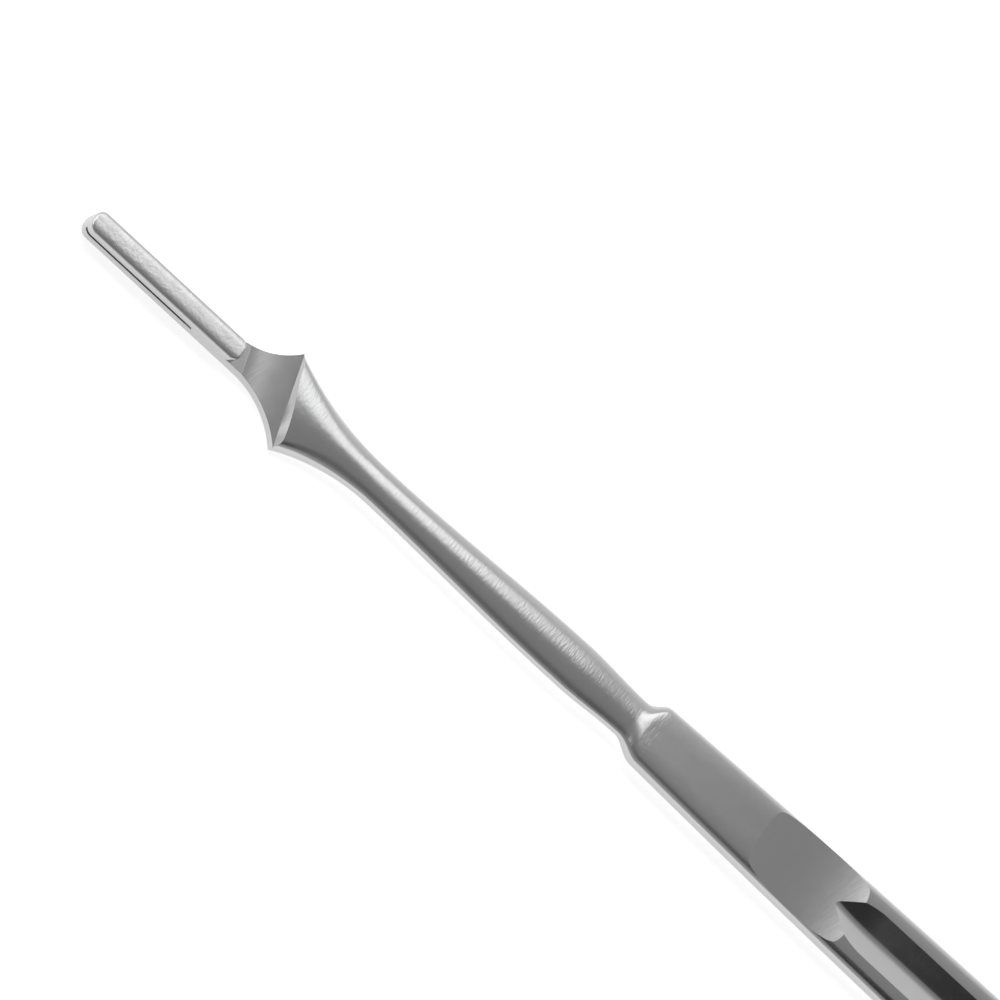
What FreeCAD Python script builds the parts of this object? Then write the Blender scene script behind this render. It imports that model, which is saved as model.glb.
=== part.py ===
import FreeCAD, Part
import math
import os
from collections import namedtuple

from FreeCAD import Vector

# Gouge blade holder: a long slender handle, forged and ground from one bar of steel.
# Stations run along X from the tip of the nib. Y is across, and Z is 0 at half the grip's
# thickness while the handle is built. All sizes are in millimetres, angles in degrees.

overall_length = 160.0

# Nib, the narrow tongue that goes through the slot of a blade
nib_length = 17.1
nib_width = 2.2
nib_side_height = 1.88
nib_crown = 0.2
nib_tip_radius = 0.65
nib_heel_radius = 0.8
nib_rim_radius = 0.3
groove_floor_height = 0.8
groove_height = 0.34
groove_depth = 0.35
groove_end_station = 12.6
groove_wheel_radius = 3.0

# Shield, the thin plate behind the nib, with the seat that the heel of a blade lies on
head_underside = -1.05
shield_root_station = 13.5
shield_station = 22.85
shield_width = 8.1
shield_slant = 18.5
shield_sweep_radius = 8.3
shield_thickness = 1.04
shield_edge_break = 0.12
seat_station = 17.9
seat_hollow_depth = 0.26

# Flare, the domed back of the shield that runs down to the neck
flare_length = 10.3
flare_height = 2.1
flare_crown = 0.26
flare_corner_reach = 0.9
flare_corner_drop = 1.2
flare_spans = 5

# Neck, an oval rod that swells and then narrows to a waist in front of the grip
slim_width = 3.42
slim_thickness = 1.95
swell_station = 56.2
swell_width = 4.58
swell_thickness = 2.06
waist_station = 63.0
waist_width = 3.96
waist_thickness = 1.84
neck_spans = 4

# Grip, the flat rear part that lies in the hand
grip_station = 65.35
grip_front_width = 6.1
grip_full_width = 7.9
grip_full_station = 116.0
grip_end_width = 6.8
grip_thickness = 2.1
grip_crown = 0.03
grip_edge_radius = 0.85
grip_spans = 6

# What the grinding takes off each face of the forged grip, to make it flat
grip_ground_depth = 0.05

# Thumb hollow, ground across both faces of the grip
hollow_start_station = 77.8
hollow_end_station = 88.8
hollow_depth = 0.4

# Flute, the long V-shaped channel with a round root in both faces of the grip
flute_full_station = 91.2
flute_end_station = 146.0
flute_width = 4.3
flute_depth = 0.75
flute_root_radius = 1.1
flute_wheel_radius = 20.0

# How far cutting shapes reach past the faces that they cut
overcut = 1.0

# Round corners of an oval section, as a share of its half width and half height
oval_share = 0.8

# Handle length of a cubic curve along a quarter of an ellipse, as a share of its radius
quarter_handle = 0.5523


# The round end of the grip turns about this station
grip_end_centre = overall_length - grip_end_width / 2.0


# A closed section across the handle. top and sole are heights. crown and belly say how far the
# top and the sole bow out between their corners. The upper corners run in from the side by
# reach and down by drop, the lower ones by foot_reach and foot_drop. slant turns the section.
Section = namedtuple(
    "Section", "width top sole crown reach drop belly foot_reach foot_drop slant"
)


def oval_section(width, thickness, slant=0.0):
    """A section close to an ellipse, the same above and below."""
    height = thickness / 2.0
    reach = oval_share * width / 2.0
    drop = oval_share * height
    bow = height * (1.0 - math.sqrt(1.0 - (1.0 - oval_share) ** 2))
    return Section(width, height, -height, bow, reach, drop, bow, reach, drop, slant)


def blend(start, end, share):
    """The section a share of the way from start to end, level at both of them."""
    ease = (1.0 - math.cos(math.pi * share)) / 2.0
    return Section(*[a + (b - a) * ease for a, b in zip(start, end)])


def corner_poles(half, wall, inner, bow_end, slope):
    """A round corner, as a cubic from the side wall to the end of the crown or the sole."""
    reach = quarter_handle * (half - inner)
    drop = quarter_handle * (bow_end - wall)
    return [(half, wall), (half, wall + drop), (inner + reach, bow_end - reach * slope), (inner, bow_end)]


def bow_poles(inner, end, bow):
    """The crown or the sole, as a cubic from the far corner to the near one."""
    lift = end + 4.0 * bow / 3.0
    return [(inner, end), (inner / 3.0, lift), (-inner / 3.0, lift), (-inner, end)]


def section_wire(station, section):
    """The eight curves of a section, from the far foot up, over the crown and back below."""
    turn = math.radians(section.slant)
    half = section.width / 2.0 / math.cos(turn)
    crown_half = half - section.reach
    belly_half = half - section.foot_reach
    shoulder = section.top - section.crown
    foot = section.sole + section.belly
    wall_top = shoulder - section.drop
    wall_foot = foot + section.foot_drop
    third = (wall_top - wall_foot) / 3.0

    lower = corner_poles(half, wall_foot, belly_half, foot, -2.0 * section.belly / belly_half)
    wall = [(half, wall_foot), (half, wall_foot + third), (half, wall_top - third), (half, wall_top)]
    upper = corner_poles(half, wall_top, crown_half, shoulder, 2.0 * section.crown / crown_half)
    crown = bow_poles(crown_half, shoulder, section.crown)
    sole = bow_poles(belly_half, foot, -section.belly)

    far_side = [lower[::-1], wall, upper]
    near_side = [[(-across, up) for across, up in poles[::-1]] for poles in far_side[::-1]]
    edges = []
    for poles in far_side + [crown] + near_side + [sole[::-1]]:
        curve = Part.BezierCurve()
        curve.setPoles(
            [Vector(station - a * math.sin(turn), a * math.cos(turn), up) for a, up in poles]
        )
        edges.append(curve.toShape())
    return Part.Wire(edges)


def prism(points_and_arcs, low, high):
    """A solid between two heights over a plan outline of edges at Z = 0."""
    face = Part.Face(Part.Wire(points_and_arcs))
    face.translate(Vector(0.0, 0.0, low))
    return face.extrude(Vector(0.0, 0.0, high - low))


def line(start, end):
    return Part.LineSegment(start, end).toShape()


def upright_edges(solid, station):
    """The edges of a solid that stand upright at a station."""
    return [
        edge
        for edge in solid.Edges
        if edge.BoundBox.XLength < 1e-6
        and edge.BoundBox.YLength < 1e-6
        and abs(edge.BoundBox.XMin - station) < 1e-6
    ]


def rim_edges(solid, height, behind=-math.inf):
    """The edges of a solid that lie level at a height, all of them behind a station."""
    return [
        edge
        for edge in solid.Edges
        if abs(edge.BoundBox.ZMin - height) < 1e-6
        and abs(edge.BoundBox.ZMax - height) < 1e-6
        and edge.BoundBox.XMax > behind + 1e-6
    ]


def flare_half_width(distance):
    """Half the flare's width at a distance behind the shield's ridge, along a round sweep."""
    rise = (shield_width - slim_width) / 2.0
    radius = (flare_length**2 + rise**2) / (2.0 * rise)
    left = flare_length - distance
    return slim_width / 2.0 + radius - math.sqrt(radius**2 - left**2)


def nib():
    """The tongue: a bar with round corners in plan, a crowned top and a groove in each side."""
    half = nib_width / 2.0
    side_top = head_underside + nib_side_height
    bar = Part.makeBox(
        nib_length, nib_width, nib_side_height + nib_crown, Vector(0.0, -half, head_underside)
    )
    bar = bar.makeFillet(nib_tip_radius, upright_edges(bar, 0.0))
    bar = bar.makeFillet(nib_heel_radius, upright_edges(bar, nib_length))

    crown_edge = Part.Arc(
        Vector(-overcut, half, side_top),
        Vector(-overcut, 0.0, side_top + nib_crown),
        Vector(-overcut, -half, side_top),
    ).toShape()
    corners = [
        Vector(-overcut, -half, side_top),
        Vector(-overcut, -half, head_underside - overcut),
        Vector(-overcut, half, head_underside - overcut),
        Vector(-overcut, half, side_top),
    ]
    profile = Part.Wire([crown_edge] + [line(a, b) for a, b in zip(corners, corners[1:])])
    crowned = Part.Face(profile).extrude(Vector(nib_length + 2.0 * overcut, 0.0, 0.0))
    bar = bar.common(crowned)
    top = max(bar.Faces, key=lambda face: face.CenterOfMass.z)
    return bar.makeFillet(nib_rim_radius, top.Edges)


def nib_grooves():
    """The slots that the edges of a blade's slot run in, with the round run-out of their wheel."""
    root = nib_width / 2.0 - groove_depth
    floor = head_underside + groove_floor_height
    hub_y = root + groove_wheel_radius
    run_out = math.sqrt(groove_wheel_radius**2 - (groove_wheel_radius - groove_depth) ** 2)
    hub = Vector(groove_end_station - run_out, hub_y, floor)
    wheel = Part.makeCylinder(groove_wheel_radius, groove_height, hub)
    run = Part.makeBox(hub.x + overcut, hub_y - root, groove_height, Vector(-overcut, root, floor))
    far = [run, wheel]
    near = [shape.mirror(Vector(0.0, 0.0, 0.0), Vector(0.0, 1.0, 0.0)) for shape in far]
    return far + near


def shield_plate():
    """The thin plate: it sweeps out on both sides from the nib to the ends of the ridge."""
    nib_half = nib_width / 2.0
    half = shield_width / 2.0
    skew = half * math.tan(math.radians(shield_slant))
    spread = half - nib_half
    sweep_length = math.sqrt(shield_sweep_radius**2 - (shield_sweep_radius - spread) ** 2)
    middle = math.asin(sweep_length / shield_sweep_radius) / 2.0
    edges = []
    ends = []
    for side in (1.0, -1.0):
        corner = Vector(shield_station - side * skew, side * half, 0.0)
        start = Vector(corner.x - sweep_length, side * nib_half, 0.0)
        bend = Vector(
            start.x + shield_sweep_radius * math.sin(middle),
            side * (nib_half + shield_sweep_radius * (1.0 - math.cos(middle))),
            0.0,
        )
        root = Vector(shield_root_station, side * nib_half, 0.0)
        edges.append([line(root, start), Part.Arc(start, bend, corner).toShape()])
        ends.append((root, corner))
    (far_root, far_corner), (near_root, near_corner) = ends
    outline = edges[0] + [line(far_corner, near_corner)] + edges[1][::-1]
    outline.append(line(near_root, far_root))
    plate = prism(Part.__sortEdges__(outline), head_underside, head_underside + shield_thickness)
    ridge_foot = [
        edge
        for edge in rim_edges(plate, head_underside, shield_root_station)
        if abs(edge.BoundBox.YLength - shield_width) > 1e-3
    ]
    return plate.makeFillet(shield_edge_break, ridge_foot)


def seat_hollow():
    """The shallow round hollow of the seat, ground along the slanted ridge."""
    turn = math.radians(shield_slant)
    level = head_underside + shield_thickness
    length = (shield_station - seat_station) * math.cos(turn)
    start = Vector(0.0, -shield_width, level)
    bottom = Vector(length / 2.0, -shield_width, level - seat_hollow_depth)
    end = Vector(length, -shield_width, level)
    profile = Part.Wire([Part.Arc(start, bottom, end).toShape(), line(end, start)])
    hollow = Part.Face(profile).extrude(Vector(0.0, 2.0 * shield_width, 0.0))
    hollow.rotate(Vector(0.0, 0.0, 0.0), Vector(0.0, 0.0, 1.0), shield_slant)
    hollow.translate(Vector(seat_station, 0.0, 0.0))
    return hollow


def grip_section(width):
    """The forged bar's section, slightly crowned and with round corners."""
    half = grip_thickness / 2.0 + grip_ground_depth
    bow = grip_crown
    corner = grip_edge_radius
    return Section(width, half, -half, bow, corner, corner, bow, corner, corner, 0.0)


def neck_and_flare():
    """The solid from the shield's ridge to the grip, lofted through sections."""
    shield_back = Section(
        shield_width,
        head_underside + flare_height,
        head_underside,
        flare_crown,
        flare_corner_reach,
        flare_corner_drop,
        0.0,
        shield_edge_break,
        shield_edge_break,
        shield_slant,
    )
    slim = oval_section(slim_width, slim_thickness, shield_slant)
    swell = oval_section(swell_width, swell_thickness)
    waist = oval_section(waist_width, waist_thickness)

    wires = []
    for step in range(flare_spans):
        share = step / flare_spans
        distance = flare_length * share
        section = blend(shield_back, slim, share)
        section = section._replace(width=2.0 * flare_half_width(distance))
        wires.append(section_wire(shield_station + distance, section))
    slim_station = shield_station + flare_length
    front = grip_section(grip_front_width)
    forms = [(slim_station, slim), (swell_station, swell), (waist_station, waist), (grip_station, front)]
    for (start_station, start), (end_station, end) in zip(forms, forms[1:]):
        for step in range(neck_spans):
            share = step / neck_spans
            station = start_station + (end_station - start_station) * share
            wires.append(section_wire(station, blend(start, end, share)))
    wires.append(section_wire(grip_station, front))
    return Part.makeLoft(wires, True, False)


def grip_width(station):
    """The grip's width, along two long bows that are level at the full station."""
    if station < grip_full_station:
        reach, fall = grip_full_station - grip_station, grip_full_width - grip_front_width
    else:
        reach, fall = grip_end_centre - grip_full_station, grip_full_width - grip_end_width
    return grip_full_width - fall * ((station - grip_full_station) / reach) ** 2


def grip():
    """The flat bar with bowed sides and round long edges, and its round end."""
    length = grip_end_centre - grip_station
    stations = [grip_station + length * step / grip_spans for step in range(grip_spans + 1)]
    wires = [section_wire(x, grip_section(grip_width(x))) for x in stations]
    bar = Part.makeLoft(wires, True, False)

    far_half = Part.makeBox(
        2.0 * overcut,
        grip_full_width,
        2.0 * grip_thickness,
        Vector(grip_end_centre - overcut, 0.0, -grip_thickness),
    )
    half_section = Part.Face(wires[-1]).common(far_half).Faces[0]
    hub = Vector(grip_end_centre, 0.0, 0.0)
    return [bar, half_section.revolve(hub, Vector(0.0, 0.0, 1.0), -180.0)]


def ground_face():
    """The cutting shape that grinds the upper face of the grip flat."""
    length = overall_length + overcut - waist_station
    width = grip_full_width + 2.0 * overcut
    corner = Vector(waist_station, -width / 2.0, grip_thickness / 2.0)
    return Part.makeBox(length, width, grip_ground_depth + overcut, corner)


def thumb_hollow():
    """The cutting shape of one thumb hollow, a wide arc across the upper face."""
    face = grip_thickness / 2.0
    middle = (hollow_start_station + hollow_end_station) / 2.0
    side = -grip_full_width
    start = Vector(hollow_start_station, side, face)
    bottom = Vector(middle, side, face - hollow_depth)
    end = Vector(hollow_end_station, side, face)
    lid = [
        line(end, end + Vector(0.0, 0.0, overcut)),
        line(end + Vector(0.0, 0.0, overcut), start + Vector(0.0, 0.0, overcut)),
        line(start + Vector(0.0, 0.0, overcut), start),
    ]
    profile = Part.Wire([Part.Arc(start, bottom, end).toShape()] + lid)
    return Part.Face(profile).extrude(Vector(0.0, 2.0 * grip_full_width, 0.0))


def flute():
    """The cutting shape of one flute: a wheel's rim run straight along the upper face."""
    face = grip_thickness / 2.0
    root = face - flute_depth
    half = flute_width / 2.0
    # the flank touches the round root at this angle to the face
    rise = flute_root_radius - flute_depth
    reach = math.hypot(half, rise)
    angle = math.asin(flute_root_radius / reach) - math.atan2(rise, half)
    touch_y = flute_root_radius * math.sin(angle)
    touch_z = root + flute_root_radius * (1.0 - math.cos(angle))
    lip_y = half + overcut / math.tan(angle)
    lip_z = face + overcut
    x = flute_full_station
    profile = Part.Wire(
        [
            line(Vector(x, -lip_y, lip_z), Vector(x, -touch_y, touch_z)),
            Part.Arc(
                Vector(x, -touch_y, touch_z), Vector(x, 0.0, root), Vector(x, touch_y, touch_z)
            ).toShape(),
            line(Vector(x, touch_y, touch_z), Vector(x, lip_y, lip_z)),
            line(Vector(x, lip_y, lip_z), Vector(x, -lip_y, lip_z)),
        ]
    )
    section = Part.Face(profile)
    hub = Vector(flute_full_station, 0.0, root + flute_wheel_radius)
    run_in = section.revolve(hub, Vector(0.0, 1.0, 0.0), 90.0)
    run = section.extrude(Vector(flute_end_station - flute_full_station, 0.0, 0.0))
    run_out = section.revolve(hub, Vector(0.0, 1.0, 0.0), -90.0)
    run_out.translate(Vector(flute_end_station - flute_full_station, 0.0, 0.0))
    return [run_in, run, run_out]


def both_faces(shapes):
    """Cutting shapes of the upper face, with their mirror images for the lower one."""
    middle = Vector(0.0, 0.0, 0.0)
    return shapes + [shape.mirror(middle, Vector(0.0, 0.0, 1.0)) for shape in shapes]


def blade_holder():
    """The whole handle as one solid."""
    body = neck_and_flare().fuse(grip())
    body = body.cut(both_faces([ground_face(), thumb_hollow()] + flute()))
    head = nib().fuse(shield_plate()).cut(nib_grooves() + [seat_hollow()])
    handle = body.fuse(head).removeSplitter()
    handle.translate(Vector(-overall_length / 2.0, 0.0, grip_thickness / 2.0))
    return handle


os.makedirs("parts", exist_ok=True)
holder = blade_holder()
holder.exportStep("parts/blade_holder.step")
box = holder.BoundBox
print("solids", len(holder.Solids), "valid", holder.isValid())
print("box", box.XMin, box.XMax, box.YMin, box.YMax, box.ZMin, box.ZMax)
print("volume", holder.Volume, "faces", len(holder.Faces))
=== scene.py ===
import math
from collections import namedtuple

import bmesh
import bpy
from mathutils import Matrix, Vector


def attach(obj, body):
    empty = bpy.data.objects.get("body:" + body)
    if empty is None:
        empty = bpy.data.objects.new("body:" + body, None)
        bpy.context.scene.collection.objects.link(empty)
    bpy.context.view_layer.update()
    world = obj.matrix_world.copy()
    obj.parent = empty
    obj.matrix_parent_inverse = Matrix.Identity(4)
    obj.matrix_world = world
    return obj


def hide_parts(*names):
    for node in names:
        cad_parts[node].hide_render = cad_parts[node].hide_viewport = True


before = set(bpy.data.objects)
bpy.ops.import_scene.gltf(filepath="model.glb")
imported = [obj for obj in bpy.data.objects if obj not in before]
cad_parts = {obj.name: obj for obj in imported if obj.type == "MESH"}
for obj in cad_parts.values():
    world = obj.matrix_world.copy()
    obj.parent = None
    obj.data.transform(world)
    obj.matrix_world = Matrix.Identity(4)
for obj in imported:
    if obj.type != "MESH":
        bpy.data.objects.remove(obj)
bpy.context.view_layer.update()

# The steel of the holder, one bar of stainless with four finishes. Belts leave fine scratches
# across the neck and the flare, the grip is satin, wheels grind the seat, the hollows and the
# flutes, and the nib keeps the rough skin that the blade slides over.
mm = 0.001
steel_colour = (0.585, 0.585, 0.59, 1.0)
scratch_detail = 3.0
scratch_roughness = 0.55
patches_per_metre = 900.0
patch_detail = 4.0


def finish(name, roughness, patch_share, cells_per_mm, depth_mm, grain_turn=0.0):
    """A steel with patchy roughness, and scratches in so many cells per mm along X, Y and Z."""
    steel = bpy.data.materials.new(name)
    steel.use_nodes = True
    nodes = steel.node_tree.nodes
    links = steel.node_tree.links
    shader = nodes["Principled BSDF"]
    shader.inputs["Base Color"].default_value = steel_colour
    shader.inputs["Metallic"].default_value = 1.0

    place = nodes.new("ShaderNodeTexCoord")
    turn = nodes.new("ShaderNodeMapping")
    turn.inputs["Rotation"].default_value = (0.0, 0.0, grain_turn)
    links.new(place.outputs["Object"], turn.inputs["Vector"])
    stretch = nodes.new("ShaderNodeMapping")
    stretch.inputs["Scale"].default_value = [count / mm for count in cells_per_mm]
    links.new(turn.outputs["Vector"], stretch.inputs["Vector"])
    scratches = nodes.new("ShaderNodeTexNoise")
    scratches.inputs["Scale"].default_value = 1.0
    scratches.inputs["Detail"].default_value = scratch_detail
    scratches.inputs["Roughness"].default_value = scratch_roughness
    links.new(stretch.outputs["Vector"], scratches.inputs["Vector"])
    bump = nodes.new("ShaderNodeBump")
    bump.inputs["Distance"].default_value = depth_mm * mm
    links.new(scratches.outputs["Fac"], bump.inputs["Height"])
    links.new(bump.outputs["Normal"], shader.inputs["Normal"])

    patches = nodes.new("ShaderNodeTexNoise")
    patches.inputs["Scale"].default_value = patches_per_metre
    patches.inputs["Detail"].default_value = patch_detail
    links.new(place.outputs["Object"], patches.inputs["Vector"])
    spread = nodes.new("ShaderNodeMapRange")
    spread.inputs["To Min"].default_value = roughness * (1.0 - patch_share)
    spread.inputs["To Max"].default_value = roughness * (1.0 + patch_share)
    links.new(patches.outputs["Fac"], spread.inputs["Value"])
    links.new(spread.outputs["Result"], shader.inputs["Roughness"])
    return steel


shield_slant = math.radians(18.5)
belt_finish = finish(
    "belt_ground_steel", roughness=0.24, patch_share=0.2, cells_per_mm=(5.0, 1.5, 1.5), depth_mm=0.015
)
satin_finish = finish(
    "satin_steel", roughness=0.24, patch_share=0.12, cells_per_mm=(7.0, 5.0, 5.0), depth_mm=0.004
)
wheel_finish = finish(
    "wheel_ground_steel", roughness=0.24, patch_share=0.15, cells_per_mm=(5.0, 0.5, 0.5),
    depth_mm=0.0035, grain_turn=shield_slant,
)
nib_finish = finish(
    "nib_steel", roughness=0.31, patch_share=0.3, cells_per_mm=(4.0, 3.0, 3.0), depth_mm=0.02
)

# The bar, forged from one rod of stainless steel: the domed flare behind the shield, the oval
# neck and the flat grip. The top of the head falls slightly towards the near side, and the neck
# runs a little off the middle. Its skin is laid over rings of points, from the ridge to the end.

# sizes are in millimetres, stations run from the nib's tip, the near side is towards -Y, and Z
# is 0 at half the thickness
overall_length = 160.0
shield_station = 22.85
shield_width = 8.1
head_underside = -1.05
shield_edge_break = 0.12
head_fall = 0.062
flare_length = 10.3
flare_height = 2.06
flare_crown = 0.26
flare_corner_reach = 0.9
flare_corner_drop = 1.2
slim_width = 3.42
slim_thickness = 1.95
swell_station = 56.2
swell_width = 4.58
swell_thickness = 2.06
waist_station = 63.0
waist_width = 3.96
waist_thickness = 1.84
waist_slant = math.radians(-8.0)
neck_sway = 0.2
neck_sway_bias = 0.7
shoulder_rise_share = 0.6
grip_station = 65.35
grip_front_width = 6.1
grip_full_width = 7.9
grip_full_station = 116.0
grip_end_width = 6.8
grip_thickness = 2.1
grip_edge_radius = 0.85
grip_ease_width = 1.2
grip_ease_drop = 0.045
grip_end_centre = overall_length - grip_end_width / 2.0
oval_share = 0.8
corner_steps = 12
bow_steps = 8
weld_distance = 1e-4

# the length of a cubic curve's handles, for a quarter of a circle of radius 1
quarter_handle = 0.5523

# Half of a section, turned in plan by its slant. The crown is the bow of its top on both sides
# of a level middle of half width flat, and reach and drop are the size of the round corner. The
# belly and the foot are the same below.
Section = namedtuple(
    "Section", "width top sole crown flat reach drop belly foot_reach foot_drop slant"
)


def oval_section(width, thickness, slant=0.0):
    """A section close to an ellipse, the same above and below."""
    height = thickness / 2.0
    reach = oval_share * width / 2.0
    drop = oval_share * height
    bow = height * (1.0 - math.sqrt(1.0 - (1.0 - oval_share) ** 2))
    return Section(width, height, -height, bow, 0.0, reach, drop, bow, reach, drop, slant)


def grip_section(width):
    """The flat grip's section, level in the middle and eased towards its round long edges."""
    half = grip_thickness / 2.0
    corner = grip_edge_radius
    flat = width / 2.0 - corner - grip_ease_width
    ease = grip_ease_drop
    return Section(width, half, -half, ease, flat, corner, corner - ease, ease, corner, corner - ease, 0.0)


def blend(start, end, share):
    """The section a share of the way from start to end, level at both of them."""
    ease = (1.0 - math.cos(math.pi * share)) / 2.0
    return Section(*[a + (b - a) * ease for a, b in zip(start, end)])


def bow_points(inner, flat, end, bow):
    """Half of the crown or the sole, from its middle out to the corner."""
    points = []
    for step in range(bow_steps):
        across = inner * step / bow_steps
        fall = max(0.0, across - flat) / (inner - flat)
        points.append((across, end + bow * (1.0 - fall * fall)))
    return points


def corner_points(half, wall, inner, bow_end, slope):
    """A round corner, from the end of the crown or the sole out to the side wall."""
    reach = quarter_handle * (half - inner)
    drop = quarter_handle * (bow_end - wall)
    poles = [(inner, bow_end), (inner + reach, bow_end - reach * slope), (half, wall + drop), (half, wall)]
    points = []
    for step in range(corner_steps + 1):
        t = step / corner_steps
        weights = ((1 - t) ** 3, 3 * t * (1 - t) ** 2, 3 * t * t * (1 - t), t**3)
        points.append(tuple(sum(w * pole[axis] for w, pole in zip(weights, poles)) for axis in (0, 1)))
    return points


def section_ring(station, section):
    """The ring of a section: its far side from the sole up to the crown, and the near side."""
    half = section.width / 2.0 / math.cos(section.slant)
    crown_half = half - section.reach
    belly_half = half - section.foot_reach
    shoulder = section.top - section.crown
    foot = section.sole + section.belly
    crown_slope = 2.0 * section.crown / (crown_half - section.flat)
    belly_slope = 2.0 * section.belly / (belly_half - section.flat)
    lower = bow_points(belly_half, section.flat, foot, -section.belly)
    lower += corner_points(half, foot + section.foot_drop, belly_half, foot, -belly_slope)
    upper = bow_points(crown_half, section.flat, shoulder, section.crown)
    upper += corner_points(half, shoulder - section.drop, crown_half, shoulder, crown_slope)
    far = lower + upper[::-1]
    ring = far + [(-across, z) for across, z in far[-2:0:-1]]
    back = math.sin(section.slant)
    out = math.cos(section.slant)
    return [(station - across * back, across * out, z) for across, z in ring]


def flare_half_width(distance):
    """Half the flare's width at a distance behind the shield's ridge, along a round sweep."""
    rise = (shield_width - slim_width) / 2.0
    radius = (flare_length**2 + rise**2) / (2.0 * rise)
    left = flare_length - distance
    return slim_width / 2.0 + radius - math.sqrt(radius**2 - left**2)


def grip_width(station):
    """The grip's width, along two long bows that are level at the full station."""
    if station < grip_full_station:
        reach, fall = grip_full_station - grip_station, grip_full_width - grip_front_width
    else:
        reach, fall = grip_end_centre - grip_full_station, grip_full_width - grip_end_width
    return grip_full_width - fall * ((station - grip_full_station) / reach) ** 2


def sway(station):
    """How far the neck runs to the near side at a station, most of all in its front half."""
    share = (station - shield_station) / (waist_station - shield_station)
    if not 0.0 < share < 1.0:
        return 0.0
    return neck_sway * math.sin(math.pi * share**neck_sway_bias) ** 2


def skin(rings, name, material):
    """A mesh over rings of points, with a face on each end."""
    bm = bmesh.new()
    loops = [[bm.verts.new(point) for point in ring] for ring in rings]
    for back_loop, front_loop in zip(loops, loops[1:]):
        for first in range(len(back_loop)):
            second = (first + 1) % len(back_loop)
            bm.faces.new((back_loop[first], back_loop[second], front_loop[second], front_loop[first]))
    bm.faces.new(loops[0][::-1])
    bm.faces.new(loops[-1])
    bmesh.ops.remove_doubles(bm, verts=bm.verts, dist=weld_distance)
    bmesh.ops.recalc_face_normals(bm, faces=bm.faces)
    mesh = bpy.data.meshes.new(name)
    bm.to_mesh(mesh)
    bm.free()
    mesh.materials.append(material)
    return mesh


shield_back = Section(
    shield_width, head_underside + flare_height, head_underside, flare_crown, 0.0,
    flare_corner_reach, flare_corner_drop, 0.0, shield_edge_break, shield_edge_break, shield_slant,
)
slim = oval_section(slim_width, slim_thickness, shield_slant)
swell = oval_section(swell_width, swell_thickness)
waist = oval_section(waist_width, waist_thickness, waist_slant)
slim_station = shield_station + flare_length
rings = []
flare_rings = 70
for step in range(flare_rings):
    share = step / flare_rings
    width = 2.0 * flare_half_width(flare_length * share)
    section = blend(shield_back, slim, share)._replace(width=width)
    fall = head_fall * (1.0 + math.cos(math.pi * share)) / 2.0
    ring = section_ring(shield_station + flare_length * share, section)
    rings.append([(x, y, z + y * fall * (z - head_underside) / flare_height) for x, y, z in ring])

# each form's station, its section, and the steps from there to the next form
forms = [
    (slim_station, slim, 90),
    (swell_station, swell, 30),
    (waist_station, waist, 36),
    (grip_station, grip_section(grip_front_width), 0),
]
for (start_station, start, count), (end_station, end, _) in zip(forms, forms[1:]):
    for step in range(count):
        share = step / count
        station = start_station + (end_station - start_station) * share
        section = blend(start, end, share)
        if start is waist:
            risen = blend(start, end, min(1.0, share / shoulder_rise_share))
            section = section._replace(top=risen.top, sole=risen.sole)
        rings.append(section_ring(station, section))
grip_rings = 90
for step in range(grip_rings + 1):
    station = grip_station + (grip_end_centre - grip_station) * step / grip_rings
    rings.append(section_ring(station, grip_section(grip_width(station))))
end_steps = 24
end_ring = rings[-1]
for step in range(1, end_steps + 1):
    turn = math.pi / 2.0 * step / end_steps
    rings.append([(x + abs(y) * math.sin(turn), y * math.cos(turn), z) for x, y, z in end_ring])
swayed = []
for ring in rings:
    station = ring[0][0]
    swayed.append([(x, y - sway(station), z) for x, y, z in ring])
bar = skin(swayed, "forged_bar", belt_finish)
bar.materials.append(satin_finish)
for polygon in bar.polygons:
    polygon.material_index = int(polygon.center.x > grip_station)
holder = bpy.data.objects.new("holder", bar)
bpy.context.scene.collection.objects.link(holder)

# What the wheels grind away: the seat, the thumb hollows and the flutes. One tree makes every
# cut: the wheel's rim sinks in along an arc, runs level and rises out again, and its profile
# across is a V with a round root, or level where the flank's slope is 0.
wheel_tree = bpy.data.node_groups.new("wheel_cut", "GeometryNodeTree")
wheel_tree.interface.new_socket("Geometry", in_out="OUTPUT", socket_type="NodeSocketGeometry")
wheel_sizes = {}
for label in ("Run", "Reach", "Width", "Wheel Radius", "Root Radius", "Root Half", "Flank Slope", "Height"):
    socket = wheel_tree.interface.new_socket(label, in_out="INPUT", socket_type="NodeSocketFloat")
    wheel_sizes[label] = socket.identifier
for label in ("Cells Along", "Cells Across"):
    socket = wheel_tree.interface.new_socket(label, in_out="INPUT", socket_type="NodeSocketInt")
    wheel_sizes[label] = socket.identifier
socket = wheel_tree.interface.new_socket("Finish", in_out="INPUT", socket_type="NodeSocketMaterial")
wheel_sizes["Finish"] = socket.identifier
size_in = wheel_tree.nodes.new("NodeGroupInput").outputs


def tree_node(kind, sockets=None, **settings):
    """A node of the wheel tree, with settings and with values or links for its inputs."""
    node = wheel_tree.nodes.new(kind)
    for setting, value in settings.items():
        setattr(node, setting, value)
    for key, value in (sockets or {}).items():
        if isinstance(value, bpy.types.NodeSocket):
            wheel_tree.links.new(value, node.inputs[key])
        else:
            node.inputs[key].default_value = value
    return node


def maths(operation, *values):
    """The output of a maths node of the wheel tree."""
    return tree_node("ShaderNodeMath", dict(enumerate(values)), operation=operation).outputs[0]


def arc_rise(radius, distance):
    """How far a circle of a radius has risen at a level distance from its lowest point."""
    square = maths("SUBTRACT", maths("MULTIPLY", radius, radius), maths("MULTIPLY", distance, distance))
    return maths("SUBTRACT", radius, maths("SQRT", square))


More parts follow.
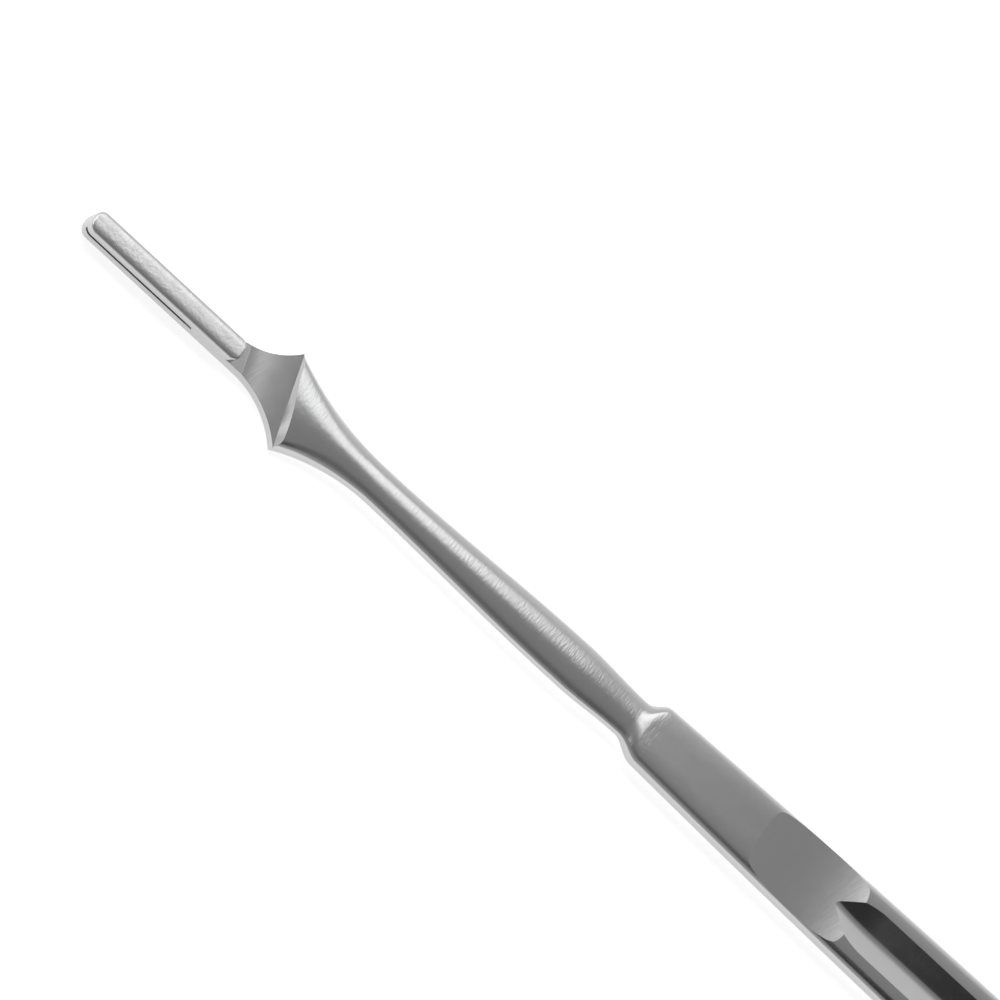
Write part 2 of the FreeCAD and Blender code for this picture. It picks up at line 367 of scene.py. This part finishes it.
length = maths("ADD", size_in["Run"], maths("MULTIPLY", size_in["Reach"], 2.0))
grid = tree_node(
    "GeometryNodeMeshGrid",
    {
        "Size X": length,
        "Size Y": size_in["Width"],
        "Vertices X": size_in["Cells Along"],
        "Vertices Y": size_in["Cells Across"],
    },
)
place = tree_node("ShaderNodeSeparateXYZ", {0: tree_node("GeometryNodeInputPosition").outputs[0]})
half_run = maths("MULTIPLY", size_in["Run"], 0.5)
beyond = maths("MAXIMUM", maths("SUBTRACT", maths("ABSOLUTE", place.outputs["X"]), half_run), 0.0)
across = maths("ABSOLUTE", place.outputs["Y"])
in_root = maths("MINIMUM", across, size_in["Root Half"])
flank = maths("MULTIPLY", maths("SUBTRACT", across, in_root), size_in["Flank Slope"])
rise = maths("ADD", arc_rise(size_in["Wheel Radius"], beyond), arc_rise(size_in["Root Radius"], in_root))
shift = tree_node("ShaderNodeCombineXYZ", {"Z": maths("ADD", rise, flank)})
rim = tree_node("GeometryNodeSetPosition", {"Geometry": grid.outputs["Mesh"], "Offset": shift.outputs[0]})
lid_shift = tree_node("ShaderNodeCombineXYZ", {"Z": size_in["Height"]})
lid = tree_node(
    "GeometryNodeExtrudeMesh",
    {"Mesh": rim.outputs[0], "Offset": lid_shift.outputs[0], "Offset Scale": 1.0, "Individual": False},
)
outward_rim = tree_node("GeometryNodeFlipFaces", {"Mesh": rim.outputs[0]})
join = tree_node("GeometryNodeJoinGeometry")
wheel_tree.links.new(lid.outputs["Mesh"], join.inputs[0])
wheel_tree.links.new(outward_rim.outputs[0], join.inputs[0])
merge = tree_node("GeometryNodeMergeByDistance", {"Geometry": join.outputs[0], "Distance": weld_distance})
real = tree_node("GeometryNodeRealizeInstances", {"Geometry": merge.outputs[0]})
dressed = tree_node("GeometryNodeSetMaterial", {"Geometry": real.outputs[0], "Material": size_in["Finish"]})
wheel_tree.links.new(dressed.outputs[0], wheel_tree.nodes.new("NodeGroupOutput").inputs[0])


def wheel_cut(**sizes):
    """The mesh of one cut, with the lowest line of the wheel's rim at Z = 0."""
    carrier = bpy.data.objects.new("wheel_cut", bpy.data.meshes.new("wheel_cut"))
    bpy.context.scene.collection.objects.link(carrier)
    modifier = carrier.modifiers.new("wheel_cut", "NODES")
    modifier.node_group = wheel_tree
    modifier[wheel_sizes["Finish"]] = wheel_finish
    for label, value in sizes.items():
        modifier[wheel_sizes[label.replace("_", " ").title()]] = value
    bpy.context.view_layer.update()
    evaluated = carrier.evaluated_get(bpy.context.evaluated_depsgraph_get())
    mesh = bpy.data.meshes.new_from_object(evaluated)
    bpy.data.objects.remove(carrier)
    return mesh


def combine(piece, tool_mesh, operation):
    """Cuts a tool out of a piece or joins it to the piece, and keeps the finish of each face."""
    tool = bpy.data.objects.new("tool", tool_mesh)
    bpy.context.scene.collection.objects.link(tool)
    modifier = piece.modifiers.new("combine", "BOOLEAN")
    modifier.operation = operation
    modifier.solver = "EXACT"
    modifier.material_mode = "TRANSFER"
    modifier.object = tool
    bpy.context.view_layer.update()
    evaluated = piece.evaluated_get(bpy.context.evaluated_depsgraph_get())
    result = bpy.data.meshes.new_from_object(evaluated)
    piece.modifiers.clear()
    piece.data = result
    bpy.data.objects.remove(tool)


# The thumb hollows and the flutes, one of each in both faces of the grip. A hollow runs right
# across the grip, and a flute has a pointed front end where its wheel sinks in.

# how high a cut stands over its rim, how far it reaches past the grip, and a rim level across
cut_height = 2.0
cut_margin = 1.0
level_rim = {"root_radius": 1.0, "root_half": 0.0, "flank_slope": 0.0}

hollow_start_station = 77.8
hollow_end_station = 88.8
hollow_depth = 0.4
flute_full_station = 91.2
flute_end_station = 146.0
flute_width = 4.3
flute_depth = 0.75
flute_root_radius = 1.1
flute_wheel_radius = 20.0
flute_reach = 8.0
flute_margin = 1.5
hollow_half = (hollow_end_station - hollow_start_station) / 2.0
hollow_radius = (hollow_half**2 + hollow_depth**2) / (2.0 * hollow_depth)
hollow_cut = wheel_cut(
    run=0.0, reach=hollow_half + cut_margin, width=grip_full_width + 2.0 * cut_margin,
    wheel_radius=hollow_radius, height=cut_height, cells_along=60, cells_across=2, **level_rim,
)
hollow_place = Vector((hollow_start_station + hollow_half, 0.0, grip_thickness / 2.0 - hollow_depth))

# the flank touches the round root at this angle to the face
root_lift = flute_root_radius - flute_depth
flank_reach = math.hypot(flute_width / 2.0, root_lift)
flank_angle = math.asin(flute_root_radius / flank_reach) - math.atan2(root_lift, flute_width / 2.0)
flute_run = flute_end_station - flute_full_station
flute_cut = wheel_cut(
    run=flute_run, reach=flute_reach, width=flute_width + 2.0 * flute_margin,
    wheel_radius=flute_wheel_radius, root_radius=flute_root_radius,
    root_half=flute_root_radius * math.sin(flank_angle), flank_slope=math.tan(flank_angle),
    height=cut_height, cells_along=150, cells_across=60,
)
flute_place = Vector((flute_full_station + flute_run / 2.0, 0.0, grip_thickness / 2.0 - flute_depth))
for cut, place_of_cut in ((hollow_cut, hollow_place), (flute_cut, flute_place)):
    upper_cut = cut.copy()
    upper_cut.transform(Matrix.Translation(place_of_cut))
    lower_cut = upper_cut.copy()
    lower_cut.transform(Matrix.Rotation(math.pi, 4, "X"))
    combine(holder, upper_cut, "DIFFERENCE")
    combine(holder, lower_cut, "DIFFERENCE")

# The shield: a thin plate that sweeps out from the nib to the ends of the slanted ridge. Its
# lower edges are broken round, its top falls towards the near side like the rest of the head,
# and the seat is ground across it along the ridge.
nib_width = 2.2
shield_root_station = 13.5
shield_sweep_radius = 8.3
shield_thickness = 1.18
seat_station = 17.9
seat_hollow_depth = 0.2
seat_margin = 0.4
sweep_steps = 40
break_steps = 4

# longer edges carry on the nib's sides or lie inside the bar, and stay sharp
sweep_longest_step = 1.0

# how far the plate's rear goes into the bar
plate_tuck = 0.02

shield_half = shield_width / 2.0
skew = shield_half * math.tan(shield_slant)
spread = shield_half - nib_width / 2.0
sweep_length = math.sqrt(shield_sweep_radius**2 - (shield_sweep_radius - spread) ** 2)
outline = []
for side in (-1.0, 1.0):
    corner_x = shield_station - side * skew
    sweep = [(shield_root_station, side * nib_width / 2.0)]
    for step in range(sweep_steps + 1):
        x = sweep_length * step / sweep_steps
        rise_of_sweep = shield_sweep_radius - math.sqrt(shield_sweep_radius**2 - x * x)
        sweep.append((corner_x - sweep_length + x, side * (nib_width / 2.0 + rise_of_sweep)))
    inner_y = side * (shield_half - plate_tuck)
    sweep.append((shield_station - inner_y * math.tan(shield_slant) + plate_tuck, inner_y))
    outline += sweep if side < 0.0 else sweep[::-1]
bm = bmesh.new()
foot = [bm.verts.new((x, y, head_underside)) for x, y in outline]
face = bm.faces.new(foot)
top = bmesh.ops.extrude_face_region(bm, geom=[face])
risen = [item for item in top["geom"] if isinstance(item, bmesh.types.BMVert)]
for vert in risen:
    vert.co.z += shield_thickness + vert.co.y * head_fall
sweep_feet = [
    edge
    for edge in bm.edges
    if max(vert.co.z for vert in edge.verts) < head_underside + weld_distance
    and all(abs(vert.co.y) > nib_width / 2.0 - weld_distance for vert in edge.verts)
    and edge.calc_length() < sweep_longest_step
]
bmesh.ops.bevel(
    bm, geom=sweep_feet, offset=shield_edge_break, segments=break_steps, profile=0.5, affect="EDGES",
    clamp_overlap=True,
)
bmesh.ops.recalc_face_normals(bm, faces=bm.faces)
plate = bpy.data.meshes.new("plate")
bm.to_mesh(plate)
bm.free()
plate.materials.append(wheel_finish)
head = bpy.data.objects.new("head", plate)
bpy.context.scene.collection.objects.link(head)
seat_half = (shield_station - seat_station) * math.cos(shield_slant) / 2.0
seat_radius = (seat_half**2 + seat_hollow_depth**2) / (2.0 * seat_hollow_depth)
seat_cut = wheel_cut(
    run=0.0, reach=seat_half + seat_margin, width=3.0 * shield_width, wheel_radius=seat_radius,
    height=cut_height, cells_along=60, cells_across=2, **level_rim,
)
seat_cut.transform(Matrix.Translation((seat_half, 0.0, 0.0)))
seat_cut.transform(Matrix.Rotation(shield_slant, 4, "Z"))
seat_cut.transform(Matrix.Rotation(math.atan(head_fall), 4, "X"))
seat_floor = head_underside + shield_thickness - seat_hollow_depth
seat_cut.transform(Matrix.Translation((seat_station, 0.0, seat_floor)))
combine(head, seat_cut, "DIFFERENCE")

# The ridge's front face, ground into the bar where the seat ends. It leans back from the seat,
# most of all on the near side.

# how far it leans for each mm of height: in the middle, what the near end adds, and the least
ridge_lean = 0.28
ridge_lean_gain = 0.55
ridge_least_lean = 0.03

face_depth = 0.1
face_height = 1.4
face_rows = 30
face_width_share = 1.3
face_low_reach = 1.0
face_high_reach = 3.0
ahead = Vector((-math.cos(shield_slant), -math.sin(shield_slant), 0.0))
face_cut = []
for row in range(face_rows + 1):
    y = (2.0 * row / face_rows - 1.0) * face_width_share * shield_half
    lean = max(ridge_least_lean, ridge_lean - ridge_lean_gain * y / shield_half)
    foot_height = head_underside + shield_thickness + y * head_fall
    foot_point = Vector((shield_station - y * math.tan(shield_slant), y, foot_height))
    low = foot_point + ahead * lean * face_depth - Vector((0.0, 0.0, face_depth))
    high = foot_point - ahead * lean * face_height + Vector((0.0, 0.0, face_height))
    face_cut.append([low, high, high + ahead * face_high_reach, low + ahead * face_low_reach])
combine(holder, skin(face_cut, "face_cut", wheel_finish), "DIFFERENCE")

# The nib: a tongue with upright sides, round plan corners, a crowned top with a round rim, and
# a groove milled into each side that the edges of a blade's slot run in.
nib_length = 17.1
nib_side_height = 1.92
nib_crown = 0.16
nib_crown_power = 4
nib_tip_radius = 0.9
nib_heel_radius = 0.8
nib_rim_radius = 0.22
groove_floor_height = 0.8
groove_height = 0.34
groove_depth = 0.35
groove_start_station = -1.0
groove_end_station = 12.6
groove_wheel_radius = 3.0
nib_half = nib_width / 2.0
plan_steps = 12
rim_steps = 10
top_steps = 6

# the rings of the top stop just short of the middle, and a face closes them
top_share = 0.97


def nib_ring(inset, drop):
    """The nib's outline moved in by an inset, at the crown's height less a drop."""
    ring = []
    for heel, side in ((False, -1.0), (True, -1.0), (True, 1.0), (False, 1.0)):
        radius = nib_heel_radius if heel else nib_tip_radius
        centre = max(radius, inset)
        round_radius = max(radius - inset, 0.0)
        corner = []
        for step in range(plan_steps + 1):
            turn = math.pi / 2.0 * step / plan_steps
            x = centre - round_radius * math.cos(turn)
            y = side * (nib_half - centre + round_radius * math.sin(turn))
            corner.append((nib_length - x if heel else x, y))
        ring += corner if heel == (side > 0.0) else corner[::-1]
    height = head_underside + nib_side_height - drop
    return [(x, y, height + nib_crown * (1.0 - (y / nib_half) ** nib_crown_power)) for x, y in ring]


nib_rings = [[(x, y, head_underside) for x, y, z in nib_ring(0.0, 0.0)]]
for step in range(rim_steps + 1):
    turn = math.pi / 2.0 * step / rim_steps
    nib_rings.append(
        nib_ring(nib_rim_radius * (1.0 - math.cos(turn)), nib_rim_radius * (1.0 - math.sin(turn)))
    )
top_half = nib_half - nib_rim_radius
for step in range(1, top_steps + 1):
    nib_rings.append(nib_ring(nib_rim_radius + top_half * top_share * step / top_steps, 0.0))
nib = skin(nib_rings, "nib", nib_finish)
combine(head, nib, "UNION")

groove_root = nib_half - groove_depth
hub_y = groove_root + groove_wheel_radius
run_out = math.sqrt(groove_wheel_radius**2 - (groove_wheel_radius - groove_depth) ** 2)
hub_x = groove_end_station - run_out
groove_floor = head_underside + groove_floor_height
run_out_steps = 24
for side in (-1.0, 1.0):
    plan = [(groove_start_station, side * hub_y), (groove_start_station, side * groove_root)]
    for step in range(run_out_steps + 1):
        turn = math.pi / 2.0 * step / run_out_steps
        x = hub_x + groove_wheel_radius * math.sin(turn)
        plan.append((x, side * (hub_y - groove_wheel_radius * math.cos(turn))))
    heights = (groove_floor, groove_floor + groove_height)
    groove = skin([[(x, y, height) for x, y in plan] for height in heights], "groove", nib_finish)
    combine(head, groove, "DIFFERENCE")

# The finished holder. The head is one with the bar, and every edge that a wheel left is crisp.
combine(holder, head.data, "UNION")
bpy.data.objects.remove(head)
crisp_angle = math.radians(17.0)
finished_weld = 1e-4 * mm
place_in_frame = Matrix.Scale(mm, 4) @ Matrix.Translation((-overall_length / 2.0, 0.0, grip_thickness / 2.0))
holder.data.transform(place_in_frame)
mesh = holder.data
mesh.name = "holder"
bm = bmesh.new()
bm.from_mesh(mesh)
bmesh.ops.remove_doubles(bm, verts=bm.verts, dist=finished_weld)
forged = [index for index, item in enumerate(mesh.materials) if item in (belt_finish, satin_finish)]
for face in bm.faces:
    face.smooth = True
for edge in bm.edges:
    kinds = {face.material_index in forged for face in edge.link_faces}
    edge.smooth = len(kinds) == 1 and edge.calc_face_angle(0.0) < crisp_angle
bm.to_mesh(mesh)
bm.free()
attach(holder, "root")
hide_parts("blade_holder")

# The floor is a plain white card. The camera and the steel see it near pure white, and it keeps
# the holder's soft shadow.
floor_half = 3.0
floor_drop = 0.02 * mm
floor_glow = 0.72
floor_mesh = bpy.data.meshes.new("floor")
floor_corners = [
    (-floor_half, -floor_half, -floor_drop),
    (floor_half, -floor_half, -floor_drop),
    (floor_half, floor_half, -floor_drop),
    (-floor_half, floor_half, -floor_drop),
]
floor_mesh.from_pydata(floor_corners, [], [(0, 1, 2, 3)])
floor = bpy.data.objects.new("floor", floor_mesh)
bpy.context.scene.collection.objects.link(floor)
card = bpy.data.materials.new("white_card")
card.use_nodes = True
nodes = card.node_tree.nodes
links = card.node_tree.links
card_shader = nodes["Principled BSDF"]
card_shader.inputs["Base Color"].default_value = (0.85, 0.85, 0.85, 1.0)
card_shader.inputs["Roughness"].default_value = 0.95
card_shader.inputs["Specular IOR Level"].default_value = 0.0
light_path = nodes.new("ShaderNodeLightPath")
seen = nodes.new("ShaderNodeMath")
seen.operation = "ADD"
links.new(light_path.outputs["Is Camera Ray"], seen.inputs[0])
links.new(light_path.outputs["Is Glossy Ray"], seen.inputs[1])
seen_any = nodes.new("ShaderNodeMath")
seen_any.operation = "ADD"
seen_any.use_clamp = True
links.new(seen.outputs[0], seen_any.inputs[0])
links.new(light_path.outputs["Is Transmission Ray"], seen_any.inputs[1])
glow = nodes.new("ShaderNodeMath")
glow.operation = "MULTIPLY"
glow.inputs[1].default_value = floor_glow
links.new(seen_any.outputs[0], glow.inputs[0])
card_shader.inputs["Emission Color"].default_value = (1.0, 1.0, 1.0, 1.0)
links.new(glow.outputs[0], card_shader.inputs["Emission Strength"])
floor_mesh.materials.append(card)

# Camera: looks down on the holder from the left, with the nib at the upper left.
azimuth = math.radians(-31.0)
elevation = math.radians(61.0)
roll_angle = math.radians(42.82)
target = Vector((-37.38, 6.58, 1.05)) * mm
frame_width = 83.3 * mm
lens = 600.0
sensor = 36.0
back = Vector(
    (
        math.sin(azimuth) * math.cos(elevation),
        -math.cos(azimuth) * math.cos(elevation),
        math.sin(elevation),
    )
)
along = (Vector((1.0, 0.0, 0.0)) - back * back.x).normalized()
right = Matrix.Rotation(roll_angle, 3, back) @ along
up = back.cross(right)
camera_data = bpy.data.cameras.new("camera")
camera_data.lens = lens
camera_data.sensor_width = sensor
camera = bpy.data.objects.new("camera", camera_data)
bpy.context.scene.collection.objects.link(camera)
turn = Matrix((right, up, back)).transposed().to_4x4()
camera.matrix_world = Matrix.Translation(target + back * frame_width * lens / sensor) @ turn
bpy.context.scene.camera = camera

# The room's light, by the angle from the zenith across the holder: grey walls on the near side,
# a dark ceiling, and brighter walls on the far side.
world = bpy.data.worlds.new("studio")
bpy.context.scene.world = world
world.use_nodes = True
nodes = world.node_tree.nodes
links = world.node_tree.links
background = nodes["Background"]
direction = nodes.new("ShaderNodeTexCoord")
parts = nodes.new("ShaderNodeSeparateXYZ")
links.new(direction.outputs["Generated"], parts.inputs[0])
angle = nodes.new("ShaderNodeMath")
angle.operation = "ARCTAN2"
links.new(parts.outputs["Y"], angle.inputs[0])
links.new(parts.outputs["Z"], angle.inputs[1])
share = nodes.new("ShaderNodeMapRange")
share.inputs["From Min"].default_value = -math.pi / 2.0
share.inputs["From Max"].default_value = math.pi / 2.0
links.new(angle.outputs[0], share.inputs["Value"])
ramp = nodes.new("ShaderNodeValToRGB")
links.new(share.outputs["Result"], ramp.inputs["Fac"])
room_light = [
    (-90, 0.5), (-62, 0.38), (-42, 0.22), (-26, 0.155), (-7, 0.28),
    (22, 0.28), (45, 0.48), (67, 0.8), (90, 0.86),
]
ramp.color_ramp.interpolation = "EASE"
while len(ramp.color_ramp.elements) < len(room_light):
    ramp.color_ramp.elements.new(1.0)
for element, (degrees, level) in zip(ramp.color_ramp.elements, room_light):
    element.position = (degrees + 90.0) / 180.0
    element.color = (level, level, level, 1.0)
links.new(ramp.outputs["Color"], background.inputs["Color"])

# Two softboxes. A long one hangs over the nib and the neck, and ends short of the grip, so that
# the flat grip stays dark. A square one in front of the tip lights the ridge's front face by way
# of the seat. Each points at a spot on the holder.


def softbox(name, spot, towards, distance, along, length, width, level):
    """An area light at a distance from a spot, with its length laid along a direction."""
    light = bpy.data.lights.new(name, "AREA")
    light.shape = "RECTANGLE"
    light.size = length
    light.size_y = width
    light.energy = level * math.pi * length * width
    box = bpy.data.objects.new(name, light)
    bpy.context.scene.collection.objects.link(box)
    turn = Matrix((along, towards.cross(along), towards)).transposed().to_4x4()
    box.matrix_world = Matrix.Translation(spot + towards * distance) @ turn
    box.visible_camera = False
    return box


# the long softbox's sides by their angle from the zenith, and its ends along the holder
top_near = math.radians(22.0)
top_far = math.radians(46.0)
top_distance = 0.2
top_start = -0.28
top_end = 0.022
top_level = 1.4
top_middle = (top_near + top_far) / 2.0
softbox(
    "top_softbox", Vector(((top_start + top_end) / 2.0, 0.0, 0.0)),
    Vector((0.0, math.sin(top_middle), math.cos(top_middle))), top_distance,
    Vector((1.0, 0.0, 0.0)), top_end - top_start,
    2.0 * top_distance * math.tan((top_far - top_near) / 2.0), top_level,
)
front_rise = math.radians(37.0)
front_spot = Vector((-0.057, 0.0, 0.0))
front_distance = 0.3
front_side = 0.3
front_level = 1.35
front_softbox = softbox(
    "front_softbox", front_spot,
    Vector((-math.cos(front_rise), 0.0, math.sin(front_rise))), front_distance,
    Vector((0.0, 1.0, 0.0)), front_side, front_side, front_level,
)
front_softbox.visible_diffuse = False

# A black flag keeps the light off the far walls of the flutes. Only the steel sees it.
flag_front = 0.035
flag_rear = 0.25
flag_near = -0.12
flag_far = 0.0
flag_height = 0.1
flag_corners = [
    (flag_front, flag_near, flag_height),
    (flag_rear, flag_near, flag_height),
    (flag_rear, flag_far, flag_height),
    (flag_front, flag_far, flag_height),
]
flag_mesh = bpy.data.meshes.new("flag")
flag_mesh.from_pydata(flag_corners, [], [(0, 1, 2, 3)])
flag = bpy.data.objects.new("flag", flag_mesh)
bpy.context.scene.collection.objects.link(flag)
felt = bpy.data.materials.new("black_felt")
felt.use_nodes = True
felt_shader = felt.node_tree.nodes["Principled BSDF"]
felt_shader.inputs["Base Color"].default_value = (0.02, 0.02, 0.02, 1.0)
felt_shader.inputs["Roughness"].default_value = 1.0
flag_mesh.materials.append(felt)
flag.visible_camera = False
flag.visible_diffuse = False
flag.visible_shadow = False

bpy.context.scene.view_settings.view_transform = "Standard"
